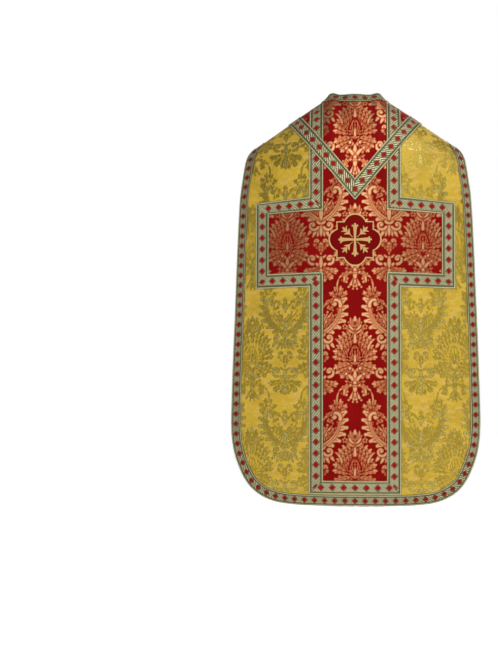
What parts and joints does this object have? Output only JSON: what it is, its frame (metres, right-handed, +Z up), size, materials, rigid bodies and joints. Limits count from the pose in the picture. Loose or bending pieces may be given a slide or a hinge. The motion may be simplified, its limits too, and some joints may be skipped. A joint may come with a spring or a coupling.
{
  "type": "roman chasuble",
  "caption": "Sleeveless vestment of damask, worn form: stiff rounded back with a cross orphrey and a fiddle-shaped front with a column orphrey, joined at the shoulders.",
  "frame": {"origin": "middle of the neck opening, level with the crest of the shoulders beside the neck, where the wearer's shoulders hold the garment", "axes": "+Z up, +Y out of the garment's back, +X towards the wearer's left"},
  "size_m": [0.6804, 0.3451, 1.1311],
  "materials": {
    "gold_damask": "silk damask, satin ground",
    "red_damask": "silk damask, gold motif on red",
    "galloon": "woven metallic braid with red diamonds",
    "lining": "satin",
    "medallion": "embroidered"
  },
  "bodies": {
    "root": {"back_cloth": "gold_damask", "front_cloth": "gold_damask", "back_lining": "lining", "front_lining": "lining", "back_orphrey": "red_damask", "galloon_back_cross": "galloon", "back_wedge_right": "red_damask", "back_wedge_left": "red_damask", "galloon_back_v": "galloon", "back_medallion": "medallion", "front_strip_right": "red_damask", "front_strip_left": "red_damask", "galloon_strip_right": "galloon", "galloon_strip_left": "galloon", "galloon_front_bar": "galloon", "galloon_front_column": "galloon", "front_orphrey": "red_damask", "galloon_back_edge": "galloon", "galloon_front_edge": "galloon", "galloon_neck": "galloon"}
  },
  "joints": []
}
